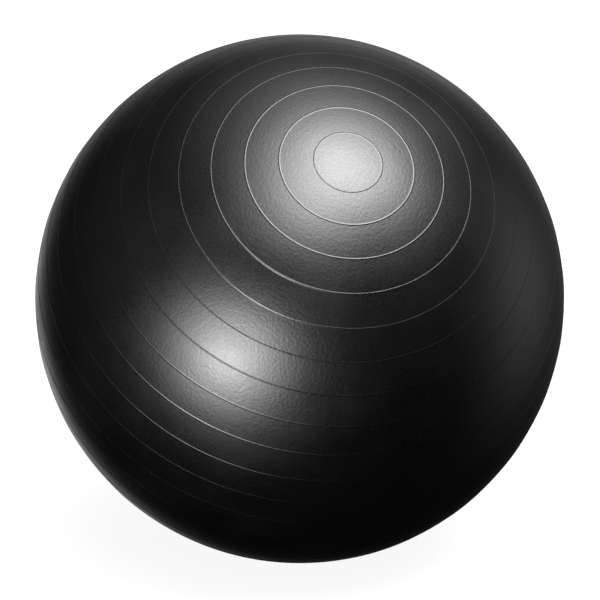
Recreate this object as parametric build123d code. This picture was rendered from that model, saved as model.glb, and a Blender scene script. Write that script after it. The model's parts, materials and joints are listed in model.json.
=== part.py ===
"""Inflatable exercise ball: ribbed cast skin, valve sleeve bonded inside it, and a pull-out plug.

The origin is the centre of the ball and +Z is up as the ball lies on the floor. Every piece is
turned about one axis, the ring axis, which runs from the valve through the centre to the smooth
pole. The profiles are drawn with that axis as Z and the valve at the bottom, then tipped over.
"""

from build123d import *
import math
import os

# ---- driving dimensions, in millimetres and degrees -----------------------------------------

# skin
BALL_DIAMETER = 650.0  # blown up to its rated size, between the ribs
SKIN_WALL = 0.85  # once the blown-up skin has stretched thin
RINGS_POLE_TO_EQUATOR = 13  # evenly spaced by angle, with one ring on the equator itself
RIB_WIDTH = 2.4
RIB_HEIGHT = 0.25

# how the ball lies: direction from its centre to the smooth pole
POLE_TILT_FROM_UP = 45.0
POLE_HEADING = -45.0  # about +Z, from +X

# skin around the valve
WELL_DEPTH = 3.0  # from the outer surface down to the sleeve's flange
PAD_SLOPE_WIDTH = 12.0  # over which the thick skin thins down to the plain wall
WELL_EDGE_BEVEL = 0.5

# valve sleeve
BOND_WIDTH = 6.0  # ring of the flange that is bonded under the skin, around the well
FLANGE_THICKNESS = 1.6
TUBE_LENGTH = 20.0  # from the flange's outer face to the inner end
TUBE_WALL = 2.2
BORE_DIAMETER = 9.1  # at its mouth
BORE_NARROWING = 1.0  # in diameter, from its mouth to its inner end

# plug
HEAD_DIAMETER = 16.0
HEAD_THICKNESS = 2.4
HEAD_EDGE_BEVEL = 0.5
STEM_LENGTH = 19.0  # from the underside of the head to the tip
GRIP_RINGS = 4
GRIP_RING_LENGTH = 2.2
GROOVE_DEPTH = 0.35  # between the grip rings
TIP_BEVEL = 1.2
CORE_DIAMETER = 3.0  # hollow moulded up the stem from its tip
CORE_DEPTH = 13.0

# clearances
STEM_CLEARANCE = 0.05  # radial, all down the tapered bore
HEAD_CLEARANCE = 1.0  # radial, room for a fingernail beside the head
PAD_MARGIN = 1.0  # thick skin beyond the edge of the flange

# ---- values worked out from them ---------------------------------------------------------------

ball_radius = BALL_DIAMETER / 2
inner_radius = ball_radius - SKIN_WALL
ring_step = 90.0 / RINGS_POLE_TO_EQUATOR
ring_count = 2 * RINGS_POLE_TO_EQUATOR - 1
rib_half_angle = math.degrees(RIB_WIDTH / 2 / ball_radius)

well_radius = HEAD_DIAMETER / 2 + HEAD_CLEARANCE
seat_level = -(ball_radius - WELL_DEPTH)  # plane of the flange's outer face, as Z
flange_radius = well_radius + BOND_WIDTH
pad_radius = flange_radius + PAD_MARGIN
slope_radius = pad_radius + PAD_SLOPE_WIDTH

mouth_radius = BORE_DIAMETER / 2
end_radius = mouth_radius - BORE_NARROWING / 2
tube_radius = mouth_radius + TUBE_WALL
bore_taper = BORE_NARROWING / 2 / TUBE_LENGTH

# the frame in which the profiles are drawn, tipped over to the way the ball lies
tilt = math.radians(POLE_TILT_FROM_UP)
heading = math.radians(POLE_HEADING)
pole = Vector(
    math.sin(tilt) * math.cos(heading),
    math.sin(tilt) * math.sin(heading),
    math.cos(tilt),
)
across = Vector(-math.sin(heading), math.cos(heading), 0)
as_it_lies = Plane(origin=(0, 0, 0), x_dir=across, z_dir=pole).location


# ---- helpers -----------------------------------------------------------------------------------


def on_sphere(radius, angle):
    """Point of the profile plane at this radius and this angle down from the smooth pole."""
    turn = math.radians(angle)
    return Vector(radius * math.sin(turn), 0, radius * math.cos(turn))


def at_width(radius, width):
    """Point on the valve half of a circle of this radius, this far out from the ring axis."""
    return Vector(width, 0, -math.sqrt(radius**2 - width**2))


def angle_at_width(radius, width):
    """Angle down from the smooth pole of the point that at_width gives."""
    return 180.0 - math.degrees(math.asin(width / radius))


def arc_on_sphere(radius, start, end):
    """Arc about the centre of the ball from one angle to another."""
    middle = on_sphere(radius, (start + end) / 2)
    return Edge.make_three_point_arc(on_sphere(radius, start), middle, on_sphere(radius, end))


def lines(*points):
    """Straight edges through a run of (width, height) points."""
    corners = [Vector(width, 0, height) for width, height in points]
    return [Edge.make_line(a, b) for a, b in zip(corners, corners[1:])]


def turned(edges):
    """Solid of revolution of a closed profile about the ring axis, laid as the ball lies.

    One face comes from each edge: merging them would undo the division of the skin's inside.
    """
    profile = Face(Wire(edges))
    return as_it_lies * revolve(profile, Axis.Z, clean=False)


# ---- pieces ------------------------------------------------------------------------------------


def shell():
    """Skin: ribs, plain stretches between them, and a thick pad with a well for the plug's head."""
    edges = []
    reached = 0.0
    for ring in range(1, ring_count + 1):
        foot = ring * ring_step - rib_half_angle
        far_foot = ring * ring_step + rib_half_angle
        crest = on_sphere(ball_radius + RIB_HEIGHT, ring * ring_step)
        edges.append(arc_on_sphere(ball_radius, reached, foot))
        edges.append(
            Edge.make_three_point_arc(
                on_sphere(ball_radius, foot), crest, on_sphere(ball_radius, far_foot)
            )
        )
        reached = far_foot
    lip_width = well_radius + WELL_EDGE_BEVEL
    lip = at_width(ball_radius, lip_width)
    edges.append(arc_on_sphere(ball_radius, reached, angle_at_width(ball_radius, lip_width)))
    edges.append(Edge.make_line(lip, Vector(well_radius, 0, lip.Z + WELL_EDGE_BEVEL)))
    slope_foot = at_width(inner_radius, slope_radius)
    edges += lines(
        (well_radius, lip.Z + WELL_EDGE_BEVEL),
        (well_radius, seat_level),
        (pad_radius, seat_level),
        (slope_foot.X, slope_foot.Z),
    )
    # the inside is drawn in the same stretches as the outside, so that both are divided alike
    reached = angle_at_width(inner_radius, slope_radius)
    for ring in range(ring_count, -1, -1):
        edges.append(arc_on_sphere(inner_radius, reached, ring * ring_step))
        reached = ring * ring_step
    edges += lines((0, inner_radius), (0, ball_radius))
    return turned(edges)


def valve_sleeve():
    """Valve seat: a flange bonded under the pad, and a tube with a bore that narrows inwards."""
    flange_back = seat_level + FLANGE_THICKNESS
    tube_end = seat_level + TUBE_LENGTH
    return turned(
        lines(
            (mouth_radius, seat_level),
            (flange_radius, seat_level),
            (flange_radius, flange_back),
            (tube_radius, flange_back),
            (tube_radius, tube_end),
            (end_radius, tube_end),
            (mouth_radius, seat_level),
        )
    )


def stem_radius(depth):
    """Radius of the plug's grip rings at this depth below its head, one clearance off the bore."""
    return mouth_radius - depth * bore_taper - STEM_CLEARANCE


def plug():
    """Stopper: thin bevelled head on the flange, and a tapered stem with grip rings and a core."""
    head_top = seat_level - HEAD_THICKNESS
    head_radius = HEAD_DIAMETER / 2
    tip = seat_level + STEM_LENGTH
    ring_pitch = (STEM_LENGTH - TIP_BEVEL) / GRIP_RINGS
    outline = [
        (0, head_top),
        (head_radius - HEAD_EDGE_BEVEL, head_top),
        (head_radius, head_top + HEAD_EDGE_BEVEL),
        (head_radius, seat_level),
        (stem_radius(0), seat_level),
    ]
    for ring in range(GRIP_RINGS):
        ring_end = ring * ring_pitch + GRIP_RING_LENGTH
        next_ring = (ring + 1) * ring_pitch
        outline.append((stem_radius(ring_end), seat_level + ring_end))
        outline.append((stem_radius(ring_end) - GROOVE_DEPTH, seat_level + ring_end + GROOVE_DEPTH))
        outline.append((stem_radius(next_ring) - GROOVE_DEPTH, seat_level + next_ring - GROOVE_DEPTH))
        outline.append((stem_radius(next_ring), seat_level + next_ring))
    outline += [
        (stem_radius(STEM_LENGTH) - TIP_BEVEL, tip),
        (CORE_DIAMETER / 2, tip),
        (CORE_DIAMETER / 2, tip - CORE_DEPTH),
        (0, tip - CORE_DEPTH - CORE_DIAMETER / 2),
        (0, head_top),
    ]
    return turned(lines(*outline))


# ---- build -------------------------------------------------------------------------------------

os.makedirs("parts", exist_ok=True)
for name, piece in {"shell": shell(), "valve_sleeve": valve_sleeve(), "plug": plug()}.items():
    export_step(piece, f"parts/{name}.step")
    print(f"{name}: {piece.volume / 1000:.2f} cm3, valid {piece.is_valid}")

mouth = pole * seat_level
print(f"valve axis, outwards: {-pole.X:.5f} {-pole.Y:.5f} {-pole.Z:.5f}")
print(f"valve mouth, on the flange: {mouth.X:.3f} {mouth.Y:.3f} {mouth.Z:.3f}")
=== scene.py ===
# %% [markdown]
# # An exercise ball, as a lesson in Blender
#
# The object is a gym ball: a soft PVC skin blown up to 65 cm, with fine moulded rings around it,
# a valve at one pole and a stopper in the valve. The CAD model fixes every size and place. This
# script dresses it: it makes a fine mesh for each piece, gives each one a material built from
# nodes, and lights it as a small studio would.

# %% Load the fixed frame
import json
import math

import bpy
import numpy as np
from mathutils import Matrix


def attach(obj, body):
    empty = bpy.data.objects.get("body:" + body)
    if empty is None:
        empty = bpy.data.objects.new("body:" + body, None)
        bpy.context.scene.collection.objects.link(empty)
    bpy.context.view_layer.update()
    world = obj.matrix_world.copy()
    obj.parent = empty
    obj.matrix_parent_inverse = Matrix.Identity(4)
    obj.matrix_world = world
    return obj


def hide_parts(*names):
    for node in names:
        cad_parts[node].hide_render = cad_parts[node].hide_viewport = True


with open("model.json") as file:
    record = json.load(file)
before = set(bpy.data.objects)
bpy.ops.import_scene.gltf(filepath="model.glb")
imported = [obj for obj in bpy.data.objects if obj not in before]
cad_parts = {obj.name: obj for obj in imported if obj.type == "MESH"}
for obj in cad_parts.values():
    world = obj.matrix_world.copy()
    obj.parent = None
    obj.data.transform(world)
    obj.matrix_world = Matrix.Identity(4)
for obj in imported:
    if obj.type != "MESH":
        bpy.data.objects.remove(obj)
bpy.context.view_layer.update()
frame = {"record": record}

# %% [markdown]
# ## Sizes
#
# The skin's radius, the valve's axis and how deep its seat lies are read from the frame, so the
# looks follow the design. What the frame doesn't tell, such as how many rings there are or how
# high a rib stands, is named here once, in metres, with the values of the design.

# %% Read the ball's size and axis
MM = 0.001

mounts = {mount["name"]: mount for mount in frame["record"]["mounts"]}
port = mounts["valve_port"]
ball_radius = -mounts["floor_contact"]["pos_m"][2]
valve_axis = np.array(port["axis"], float)
valve_axis /= np.linalg.norm(valve_axis)
smooth_pole = -valve_axis
seat_depth = ball_radius - float(np.linalg.norm(port["pos_m"]))
print(f"ball radius {ball_radius / MM:.1f} mm, flange {seat_depth / MM:.2f} mm under the surface")

# %% Name the sizes of the skin, the valve and the plug
RINGS_POLE_TO_EQUATOR = 13
RING_COUNT = 2 * RINGS_POLE_TO_EQUATOR - 1
RING_STEP = math.pi / 2 / RINGS_POLE_TO_EQUATOR
RIB_WIDTH = 2.4 * MM
RIB_HEIGHT = 0.25 * MM
SKIN_WALL = 0.85 * MM

HEAD_RADIUS = 8.0 * MM
HEAD_THICKNESS = 2.4 * MM
WELL_RADIUS = 9.0 * MM
FLANGE_RADIUS = 15.0 * MM
FLANGE_THICKNESS = 1.6 * MM
PAD_RADIUS = 16.0 * MM
SLOPE_RADIUS = 28.0 * MM
TUBE_LENGTH = 20.0 * MM
TUBE_RADIUS = 6.75 * MM
BORE_RADIUS = 4.55 * MM
BORE_END_RADIUS = 4.05 * MM
STEM_LENGTH = 19.0 * MM
STEM_CLEARANCE = 0.05 * MM

# %% [markdown]
# ## Axes that go round the ball
#
# Every piece is turned about one line, from the valve to the smooth pole. Two directions square
# to that line make a frame to draw in. An angle down from the smooth pole and a turn about the
# line then name any point of the skin, as latitude and longitude do on the earth.

# %% Make the drawing frame
across = np.cross([0.0, 0.0, 1.0], smooth_pole)
across /= np.linalg.norm(across)
along = np.cross(smooth_pole, across)
drawing_frame = np.stack([across, along, smooth_pole])
print("pole", smooth_pole.round(4), "across", across.round(4))

# %% [markdown]
# ## Turning a profile
#
# A lathe shape is a profile of (width, height) points and a turn. As a formula, the point at
# profile point i and turn t is
# width_i * cos(t) * across + width_i * sin(t) * along + height_i * pole.
# Blender's Spin tool and Screw modifier do the same by hand. Whole arrays in numpy give a closed
# mesh at once, with each pole as one shared vertex, so there is no seam to merge afterwards.

# %% Define the lathe
def lathe_points(profile, turns):
    """Grid of points: each profile point (width, height) carried round the ring axis."""
    width, height = profile[:, 0, None], profile[:, 1, None]
    flat = np.stack(
        [width * np.cos(turns), width * np.sin(turns), height + 0 * turns], axis=-1
    )
    return flat @ drawing_frame


def grid_faces(rows, columns):
    """Four-sided faces between neighbouring rows, with the last column joined to the first."""
    row, column = np.meshgrid(np.arange(rows - 1), np.arange(columns), indexing="ij")
    beside = (column + 1) % columns
    here, there = row * columns, (row + 1) * columns
    quads = np.stack([here + column, there + column, there + beside, here + beside], axis=-1)
    return quads.reshape(-1, 4)


def fan_faces(tip, rim, columns, outward):
    """Three-sided faces that close a pole, from one tip vertex to a rim row."""
    column = np.arange(columns)
    beside = (column + 1) % columns
    first, second = (column, beside) if outward else (beside, column)
    return np.stack([np.full(columns, tip), rim + first, rim + second], axis=-1)


def mesh_object(name, points, faces):
    """Put an array of points and lists of faces into a smooth-shaded object."""
    mesh = bpy.data.meshes.new(name)
    mesh.from_pydata(points.tolist(), [], faces)
    mesh.shade_smooth()
    mesh.validate()
    piece = bpy.data.objects.new(name, mesh)
    bpy.context.scene.collection.objects.link(piece)
    triangles = sum(len(face) - 2 for face in faces)
    print(f"{name}: {len(points)} points, {triangles} triangles")
    return piece

# %% [markdown]
# ## Rounding corners
#
# Moulded plastic has no truly sharp edge. Each corner of a profile is swapped for a few points of
# a small curve: the point at step s is the average of the two legs with weights (1 - s) squared,
# 2 s (1 - s) and s squared. That is a Bezier curve, and it also keeps the light's edge soft.

# %% Define the corner rounding
ROUND_STEPS = 5


def rounded(corners, radius):
    """Profile with every inner corner replaced by a small curve that reaches radius along each leg."""
    corners = np.asarray(corners, float)
    points = [corners[0]]
    share = np.linspace(0, 1, ROUND_STEPS)[:, None]
    for before, corner, after in zip(corners, corners[1:], corners[2:]):
        back, ahead = before - corner, after - corner
        reach = min(radius, 0.45 * np.linalg.norm(back), 0.45 * np.linalg.norm(ahead))
        start = corner + back / np.linalg.norm(back) * reach
        end = corner + ahead / np.linalg.norm(ahead) * reach
        curve = (1 - share) ** 2 * start + 2 * share * (1 - share) * corner + share**2 * end
        points.extend(curve)
    points.append(corners[-1])
    return np.array(points)

# %% [markdown]
# ## The skin
#
# The real skin is cast in one go: liquid PVC is tumbled in a hot round mould and sets as an even
# layer, ribs and all. It could be a UV sphere with a displacement, but the ribs are only 2.4 mm
# wide on a 2 m girth, so an even grid would need millions of faces. Here the rows of the grid
# bunch up at each rib and stay wide apart in between.
#
# A blown-up skin never stretches quite evenly, so the rings away from the pole lean over a
# little: 3.5 degrees at the equator. The lean follows sin(angle) * (1 - cos(angle)), which is
# nothing at either pole. What it does past the equator is carried on from that formula.

# %% Place the rows of the skin
ROWS_PER_RIB = 9
ROWS_BETWEEN_RIBS = 4
FOOT_REACH = 1.25  # a row just beyond each foot of a rib keeps the plain skin's shading true
COLUMNS = 216
LAST_ROW_MARGIN = 1.0 * MM  # between the last plain row and the well
LAST_ROW_GAP = 0.01  # radians, so that no two rows crowd at the lip


def outer_angles():
    """Angles down from the smooth pole, close together over each rib."""
    half_rib = RIB_WIDTH / 2 / ball_radius
    over_rib = np.linspace(-1, 1, ROWS_PER_RIB) * half_rib
    over_rib = np.concatenate([[-FOOT_REACH * half_rib], over_rib, [FOOT_REACH * half_rib]])
    ribs = np.arange(1, RING_COUNT + 1) * RING_STEP
    between = np.linspace(half_rib, RING_STEP - half_rib, ROWS_BETWEEN_RIBS + 2)[1:-1]
    gaps = np.arange(0, RING_COUNT) * RING_STEP
    last = RING_COUNT * RING_STEP + between
    lip = math.pi - (WELL_RADIUS + LAST_ROW_MARGIN) / ball_radius
    angles = np.concatenate([
        (ribs[:, None] + over_rib).ravel(),
        (gaps[:, None] + between).ravel(),
        last[last < lip - LAST_ROW_GAP],
    ])
    return np.sort(angles)


def rib_rise(angle):
    """Height of the skin over the plain ball: a cosine hump at each ring."""
    ring = np.clip(np.round(angle / RING_STEP), 1, RING_COUNT)
    off = (angle - ring * RING_STEP) * ball_radius / (RIB_WIDTH / 2)
    return RIB_HEIGHT * (0.5 + 0.5 * np.cos(np.pi * np.clip(off, -1, 1)))


angles = outer_angles()
print(f"{len(angles)} rows outside, {COLUMNS} columns")

# %% Draw the skin's profile, outside then inside
def on_ball(radius, angle):
    """Profile point at a radius from the centre and an angle down from the smooth pole."""
    return np.stack([radius * np.sin(angle), radius * np.cos(angle)], axis=-1)


outside = on_ball(ball_radius + rib_rise(angles), angles)
LIP_WIDTH = 1.2 * MM  # over which the skin rolls into the well
LIP_DROP = 0.002 * MM  # keeps the well's top corner from lying level with its neighbour
WELL_ROUNDING = 0.6 * MM
seat = -(ball_radius - seat_depth)
lip_height = -math.sqrt(ball_radius**2 - (WELL_RADIUS + LIP_WIDTH) ** 2)
inner_radius = ball_radius - SKIN_WALL
slope_height = -math.sqrt(inner_radius**2 - SLOPE_RADIUS**2)
well = rounded(
    [
        (WELL_RADIUS + LIP_WIDTH, lip_height),
        (WELL_RADIUS, lip_height - LIP_DROP),
        (WELL_RADIUS, seat),
        (PAD_RADIUS, seat),
        (SLOPE_RADIUS, slope_height),
    ],
    WELL_ROUNDING,
)
INSIDE_ROWS = 44
slope_angle = math.pi - math.asin(SLOPE_RADIUS / inner_radius)
inside = on_ball(inner_radius, np.linspace(slope_angle, 0, INSIDE_ROWS + 2)[1:-1])
skin_profile = np.concatenate([outside, well, inside])

# %% Lean the rings
LEAN = np.array([-0.0526, -0.0258, 0.0167])  # of the axis of a ring on the equator, to the left
STILL_FROM, STILL_BY = math.radians(150), math.radians(170)  # the skin lies true at the valve


def leaned(points, profile):
    """Turn each row about the ball's centre, by sin(angle) * (1 - cos(angle)) of LEAN.

    The weight fades out before the valve, so that the well stays in line with its plug.
    """
    angle = np.arctan2(profile[:, 0], profile[:, 1])
    fade = np.clip((STILL_BY - angle) / (STILL_BY - STILL_FROM), 0, 1)
    fade = fade**2 * (3 - 2 * fade)
    weight = (np.sin(angle) * (1 - np.cos(angle)) * fade)[:, None, None]
    axis = smooth_pole + weight * LEAN
    axis = axis / np.linalg.norm(axis, axis=-1, keepdims=True)
    hinge = np.cross(smooth_pole, axis)
    cosine = (axis * smooth_pole).sum(axis=-1, keepdims=True)
    swing = (hinge * points).sum(axis=-1, keepdims=True) / (1 + cosine)
    return points * cosine + np.cross(np.broadcast_to(hinge, points.shape), points) + hinge * swing

# %% [markdown]
# ## From profile to closed mesh
#
# A profile that starts and ends on the ring axis closes at two poles, each a fan of triangles
# round one vertex. A profile that never meets the axis, such as the sleeve's, closes on itself
# like a ring doughnut: its last row joins its first. Profiles are drawn clockwise, with width to
# the right and height up, so that every face looks outwards.

# %% Define the turned piece
def turned_piece(name, profile, columns, shift=None):
    """Mesh of a clockwise profile turned about the ring axis; shift may move its points."""
    turns = np.linspace(0, 2 * math.pi, columns, endpoint=False)
    on_axis = bool(profile[0, 0] < 1e-9)
    rows = profile[1:-1] if on_axis else np.concatenate([profile, profile[:1]])
    points = lathe_points(rows, turns)
    if shift is not None:
        points = shift(points, rows)
    if on_axis:
        tips = profile[[0, -1], 1, None] * smooth_pole
        last_rim = (len(rows) - 1) * columns
        count = len(rows) * columns
        faces = grid_faces(len(rows), columns).tolist()
        faces += fan_faces(count, 0, columns, outward=True).tolist()
        faces += fan_faces(count + 1, last_rim, columns, outward=False).tolist()
        vertices = np.concatenate([points.reshape(-1, 3), tips])
    else:
        vertices = points[:-1].reshape(-1, 3)
        faces = (grid_faces(len(rows), columns) % len(vertices)).tolist()
    return mesh_object(name, vertices, faces)


skin_profile = np.concatenate([[(0.0, ball_radius)], skin_profile, [(0.0, inner_radius)]])
skin = turned_piece("skin", skin_profile, COLUMNS, shift=leaned)
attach(skin, "ball")
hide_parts("shell")

# %% [markdown]
# ## The valve sleeve
#
# A soft flanged tube is bonded under the thick part of the skin. Its flange is the floor of the
# well that the plug's head sits in, and its bore takes the pump's cone. It is a short lathe
# shape too, so the same function makes it from a few corners.

# %% Make the sleeve
MOUTH_START = 1.5 * MM  # the profile starts and ends on the flange's flat face, clear of corners
MOUTH_END = 2.5 * MM
SLEEVE_ROUNDING = 0.35 * MM
SMALL_COLUMNS = 72

sleeve_profile = rounded(
    [
        (BORE_RADIUS + MOUTH_START, seat),
        (BORE_RADIUS, seat),
        (BORE_END_RADIUS, seat + TUBE_LENGTH),
        (TUBE_RADIUS, seat + TUBE_LENGTH),
        (TUBE_RADIUS, seat + FLANGE_THICKNESS),
        (FLANGE_RADIUS, seat + FLANGE_THICKNESS),
        (FLANGE_RADIUS, seat),
        (BORE_RADIUS + MOUTH_END, seat),
    ],
    SLEEVE_ROUNDING,
)
sleeve = turned_piece("sleeve", sleeve_profile, SMALL_COLUMNS)
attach(sleeve, "ball")
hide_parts("valve_sleeve")

# %% [markdown]
# ## The plug
#
# The stopper is moulded in polyethylene, a waxy plastic that PVC doesn't stick to. Its head is a
# thin disc with a raised rim and a small nub where the plastic was let into the mould. Its stem
# tapers with the bore and carries grip rings. Each ring's crest keeps the running clearance of
# the design, and the grooves between them are shallow.

# %% Draw the plug's profile
GRIP_RINGS = 4
GRIP_LENGTH = 2.2 * MM
GROOVE_DEPTH = 0.35 * MM
TIP_BEVEL = 1.2 * MM
CORE_RADIUS = 1.5 * MM
CORE_DEPTH = 13.0 * MM
RIM_WIDTH = 2.2 * MM
DISH_DEPTH = 0.4 * MM
NUB_RADIUS = 0.9 * MM
PLUG_ROUNDING = 0.5 * MM


def stem_radius(depth):
    """Radius of a grip ring at a depth down the bore: the bore's own taper, less the clearance."""
    taper = (BORE_RADIUS - BORE_END_RADIUS) / TUBE_LENGTH
    return BORE_RADIUS - depth * taper - STEM_CLEARANCE


def stem_corners():
    """Corners of the stem from its tip back to the head: crest, groove, crest, groove."""
    pitch = (STEM_LENGTH - TIP_BEVEL) / GRIP_RINGS
    corners = [(stem_radius(STEM_LENGTH) - TIP_BEVEL, STEM_LENGTH)]
    for ring in reversed(range(GRIP_RINGS)):
        top, foot = (ring + 1) * pitch, ring * pitch + GRIP_LENGTH
        corners.append((stem_radius(top), top))
        corners.append((stem_radius(top) - GROOVE_DEPTH, top - GROOVE_DEPTH))
        corners.append((stem_radius(foot) - GROOVE_DEPTH, foot + GROOVE_DEPTH))
        corners.append((stem_radius(foot), foot))
    corners.append((stem_radius(0), 0.0))
    return corners


def head_corners():
    """Corners of the head from its underside round the rim to the nub in the middle."""
    dish = HEAD_RADIUS - RIM_WIDTH
    low, floor = -HEAD_THICKNESS, -HEAD_THICKNESS + DISH_DEPTH
    return [
        (HEAD_RADIUS, 0.0),
        (HEAD_RADIUS, low),
        (dish, low),
        (dish - DISH_DEPTH, floor),
        (NUB_RADIUS, floor),
        (NUB_RADIUS * 0.8, floor - DISH_DEPTH / 2),
        (0.0, floor - DISH_DEPTH / 2),
    ]


core_top = STEM_LENGTH - CORE_DEPTH
plug_corners = [(0.0, core_top - CORE_RADIUS), (CORE_RADIUS, core_top), (CORE_RADIUS, STEM_LENGTH)]
plug_corners = np.array(plug_corners + stem_corners() + head_corners())
plug_corners[:, 1] += seat
plug_stopper = turned_piece("stopper", rounded(plug_corners, PLUG_ROUNDING), SMALL_COLUMNS)
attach(plug_stopper, "plug")
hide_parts("plug")

# %% [markdown]
# ## Colours and nodes
#
# Hex codes are written in sRGB, the scale that screens use, and shaders want linear light, so
# one function turns one into the other. A second small function adds a node, sets it up and
# joins it, so that each material below reads as a short list.

# %% Define the material helpers
def linear(hex_code):
    """sRGB hex to linear RGBA: ((c + 0.055) / 1.055) to the power 2.4, or c / 12.92 when dark."""
    channels = np.array([int(hex_code[i : i + 2], 16) for i in (0, 2, 4)]) / 255
    light = np.where(channels <= 0.04045, channels / 12.92, ((channels + 0.055) / 1.055) ** 2.4)
    return (*light.tolist(), 1.0)


def add_node(tree, kind, links=None, **settings):
    """Add a node; a setting names a socket or a property, a link names a socket and its source."""
    node = tree.nodes.new(kind)
    for name, value in settings.items():
        title = name.replace("_", " ")
        if hasattr(node, name):
            setattr(node, name, value)
        else:
            node.inputs[title].default_value = value
    for socket, source in (links or {}).items():
        tree.links.new(source, node.inputs[socket])
    return node


def new_material(name, roughness, ior, base):
    """Material with one Principled shader; the constants sit on the shader's own sockets."""
    material = bpy.data.materials.new(name)
    material.use_nodes = True
    shader = material.node_tree.nodes["Principled BSDF"]
    shader.inputs["Base Color"].default_value = linear(base)
    shader.inputs["Roughness"].default_value = roughness
    shader.inputs["IOR"].default_value = ior
    return material, material.node_tree, shader

# %% [markdown]
# ## Cast PVC
#
# The skin is plasticised PVC with carbon black in it, set against the bare wall of the mould. PVC
# bends light by about 1.53. The mould is sandblasted, so the skin has a satin face with a fine
# leathery grain that breaks the highlights up. Two sizes of noise make it: pores about 1.6 mm
# across and a slower mottle about 3.5 mm across. They move the normal through a Bump node. The
# mottle also shifts the black a little, and the pores and a slow drift shift the roughness, as the
# finish of a cast skin does.

# %% Make the cast PVC
PORE_SIZE = 1.6 * MM
MOTTLE_SIZE = 3.5 * MM
DRIFT_SIZE = 90.0 * MM

cast_pvc, tree, shader = new_material("rotocast_black_pvc", 0.29, 1.53, "020202")
place = add_node(tree, "ShaderNodeTexCoord").outputs["Object"]
pores = add_node(tree, "ShaderNodeTexNoise", {"Vector": place}, Scale=1 / PORE_SIZE, Detail=1.0)
mottle = add_node(tree, "ShaderNodeTexNoise", {"Vector": place}, Scale=1 / MOTTLE_SIZE, Detail=1.5)
drift = add_node(tree, "ShaderNodeTexNoise", {"Vector": place}, Scale=1 / DRIFT_SIZE, Detail=2.0)
coarse = add_node(
    tree, "ShaderNodeBump", {"Height": mottle.outputs["Fac"]}, Strength=1.0, Distance=0.145 * MM
)
fine = add_node(
    tree,
    "ShaderNodeBump",
    {"Height": pores.outputs["Fac"], "Normal": coarse.outputs["Normal"]},
    Strength=1.0,
    Distance=0.05 * MM,
)
tree.links.new(fine.outputs["Normal"], shader.inputs["Normal"])
blend = add_node(
    tree, "ShaderNodeMath", {0: pores.outputs["Fac"], 1: drift.outputs["Fac"]}, operation="ADD"
)
gloss = add_node(tree, "ShaderNodeMapRange", {"Value": blend.outputs[0]})
for socket, value in {"From Min": 0.6, "From Max": 1.4, "To Min": 0.22, "To Max": 0.37}.items():
    gloss.inputs[socket].default_value = value
tree.links.new(gloss.outputs["Result"], shader.inputs["Roughness"])
tone = add_node(tree, "ShaderNodeValToRGB", {"Fac": mottle.outputs["Fac"]})
tone.color_ramp.elements[0].color = linear("000000")
tone.color_ramp.elements[1].color = linear("030303")
tree.links.new(tone.outputs["Color"], shader.inputs["Base Color"])
skin.data.materials.append(cast_pvc)

# %% [markdown]
# ## Soft PVC and polyethylene
#
# The sleeve is the same kind of PVC, dipped rather than cast, so it is smoother and a little
# greyer. The plug is natural polyethylene, undyed and milky: IOR about 1.51, a waxy half-sheen,
# and a faint cloudiness from the flow of the melt.

# %% Make the sleeve's and the plug's materials
def clouded(material_parts, low, high, size, lift):
    """Base colour that drifts between two hex codes in clouds of a size, with a bump of a height."""
    tree, shader = material_parts
    place = add_node(tree, "ShaderNodeTexCoord").outputs["Object"]
    clouds = add_node(tree, "ShaderNodeTexNoise", {"Vector": place}, Scale=1 / size, Detail=3.0)
    ramp = add_node(tree, "ShaderNodeValToRGB", {"Fac": clouds.outputs["Fac"]})
    ramp.color_ramp.elements[0].color = linear(low)
    ramp.color_ramp.elements[1].color = linear(high)
    tree.links.new(ramp.outputs["Color"], shader.inputs["Base Color"])
    bump = add_node(tree, "ShaderNodeBump", {"Height": clouds.outputs["Fac"]}, Distance=lift)
    tree.links.new(bump.outputs["Normal"], shader.inputs["Normal"])


soft_pvc, tree, shader = new_material("soft_black_pvc", 0.42, 1.53, "101011")
clouded((tree, shader), "0c0c0d", "161617", 1.5 * MM, 0.03 * MM)
sleeve.data.materials.append(soft_pvc)

polyethylene, tree, shader = new_material("moulded_polyethylene", 0.38, 1.51, "d8d5cd")
clouded((tree, shader), "cfccc3", "e0ddd6", 2.5 * MM, 0.02 * MM)
plug_stopper.data.materials.append(polyethylene)

# %% [markdown]
# ## The camera
#
# A long lens from ten radii away keeps the ball's outline round and its rings calm. The camera's
# direction follows from how the smooth pole leans towards it: from a little above, and from the
# front right.

# %% Place the camera
VIEW_AZIMUTH, VIEW_ELEVATION = math.radians(31.08), math.radians(16.82)
VIEW_DISTANCE = 10 * ball_radius
FRAME_SHARE = 0.8815  # of the picture's width, that the ball fills
SENSOR = 36.0

toward_camera = np.array([
    math.sin(VIEW_AZIMUTH) * math.cos(VIEW_ELEVATION),
    -math.cos(VIEW_AZIMUTH) * math.cos(VIEW_ELEVATION),
    math.sin(VIEW_ELEVATION),
])
camera_right = np.array([math.cos(VIEW_AZIMUTH), math.sin(VIEW_AZIMUTH), 0.0])
camera_up = np.cross(toward_camera, camera_right)
AIM_RIGHT, AIM_UP = 0.4 * MM, -1.4 * MM
aim = AIM_RIGHT * camera_right + AIM_UP * camera_up

lens = bpy.data.cameras.new("camera")
lens.sensor_width = SENSOR
lens.lens = SENSOR * FRAME_SHARE / 2 * math.sqrt((VIEW_DISTANCE / ball_radius) ** 2 - 1)
lens.clip_end = 200
camera = bpy.data.objects.new("camera", lens)
bpy.context.scene.collection.objects.link(camera)
turn = np.stack([camera_right, camera_up, toward_camera], axis=1)
stand = aim + VIEW_DISTANCE * toward_camera
camera.matrix_world = Matrix.Translation(stand) @ Matrix(turn.tolist()).to_4x4()
bpy.context.scene.camera = camera
print(f"lens {lens.lens:.1f} mm at {VIEW_DISTANCE:.2f} m")

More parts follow.
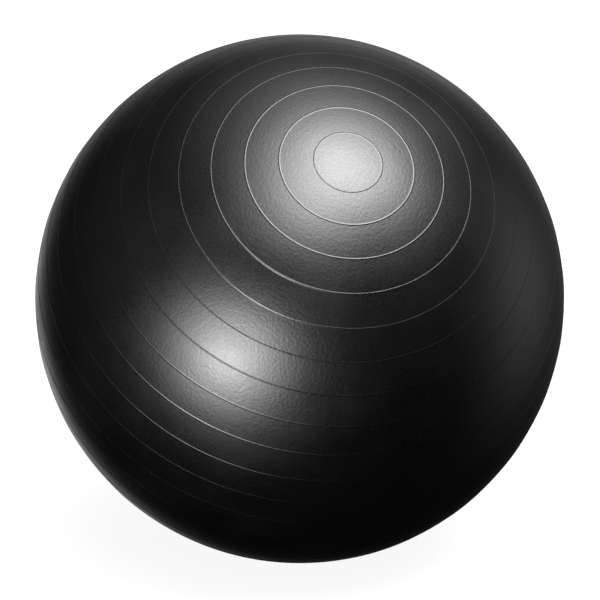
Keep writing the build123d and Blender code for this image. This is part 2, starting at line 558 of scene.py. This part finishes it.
# %% [markdown]
# ## Soft studio light
#
# Black satin shows almost nothing but its lamps. Here they are not lamps but ten round glows
# painted on the world, which overlap into two soft patches and a faint rim. Their directions and
# powers are tuned for the main camera alone. At an angle a from its middle, a glow has the
# strength power * e^(tightness * (cos(a) - 1)). A glow has no edge to be seen in the satin, and
# it stays where it is from every side. What the camera sees of the world itself is plain white.

# %% Light the world
GLOWS = [  # right, up and towards the camera; tightness; power
    ((0.265, 0.839, 0.474), 20.2, 23.5),
    ((0.500, 0.710, 0.500), 42.0, 4.5),
    ((-0.496, -0.396, 0.773), 26.0, 29.0),
    ((-0.240, -0.290, 0.926), 60.0, 3.5),
    ((0.956, 0.088, -0.279), 12.5, 0.73),
    ((-0.298, -0.062, -0.953), 44.3, 1.15),
    ((0.054, 0.360, -0.932), 15.0, 0.53),
    ((0.078, 0.659, 0.748), 23.9, 13.0),
    ((0.185, 0.970, 0.157), 9.0, 2.75),
    ((-0.893, 0.311, 0.326), 5.2, 0.19),
]
ROOM_LIGHT = 0.0003

world = bpy.data.worlds.new("studio")
world.use_nodes = True
bpy.context.scene.world = world
tree = world.node_tree
tree.nodes.clear()
direction = add_node(tree, "ShaderNodeTexCoord").outputs["Generated"]
total = add_node(tree, "ShaderNodeValue").outputs[0]
total.default_value = ROOM_LIGHT
for heading, tightness, power in GLOWS:
    heading = np.array(heading) @ np.stack([camera_right, camera_up, toward_camera])
    facing = add_node(tree, "ShaderNodeVectorMath", {0: direction}, operation="DOT_PRODUCT")
    facing.inputs[1].default_value = heading / np.linalg.norm(heading)
    fall = add_node(
        tree, "ShaderNodeMath", {0: facing.outputs["Value"]}, operation="MULTIPLY_ADD"
    )
    fall.inputs[1].default_value = tightness
    fall.inputs[2].default_value = math.log(power) - tightness
    glow = add_node(tree, "ShaderNodeMath", {0: fall.outputs[0]}, operation="EXPONENT")
    total = add_node(
        tree, "ShaderNodeMath", {0: total, 1: glow.outputs[0]}, operation="ADD"
    ).outputs[0]
lamps = add_node(tree, "ShaderNodeBackground", {"Strength": total})
paper = add_node(tree, "ShaderNodeBackground", Color=(1.0, 1.0, 1.0, 1.0), Strength=1.0)
seen = add_node(tree, "ShaderNodeLightPath").outputs["Is Camera Ray"]
mixed = add_node(tree, "ShaderNodeMixShader", {0: seen, 1: lamps.outputs[0], 2: paper.outputs[0]})
add_node(tree, "ShaderNodeOutputWorld", {"Surface": mixed.outputs[0]})
bpy.context.scene.view_settings.view_transform = "Standard"

# %% [markdown]
# ## The floor
#
# The ball rests on a wide pale floor. It glows by itself, as a lit light table does, which keeps it
# even and nearly white all the way out, and it takes a soft shadow under the ball. It throws light up at the
# valve's side, but it is hidden from the ball's own reflections, as black cloth laid round a
# stand would hide it in a studio.

# %% Lay the floor
FLOOR_RADIUS = 60.0
FLOOR_CORNERS = [(-1, -1), (1, -1), (1, 1), (-1, 1)]
floor_points = [(FLOOR_RADIUS * x, FLOOR_RADIUS * y, -ball_radius) for x, y in FLOOR_CORNERS]
floor = mesh_object("floor", np.array(floor_points), [[0, 1, 2, 3]])
paper_white, tree, shader = new_material("white_paper", 0.9, 1.5, "595959")
shader.inputs["Emission Color"].default_value = (1.0, 1.0, 1.0, 1.0)
shader.inputs["Emission Strength"].default_value = 0.92
shader.inputs["Specular IOR Level"].default_value = 0.0
floor.data.materials.append(paper_white)
for ray in ("visible_glossy", "visible_shadow", "visible_transmission"):
    setattr(floor, ray, False)
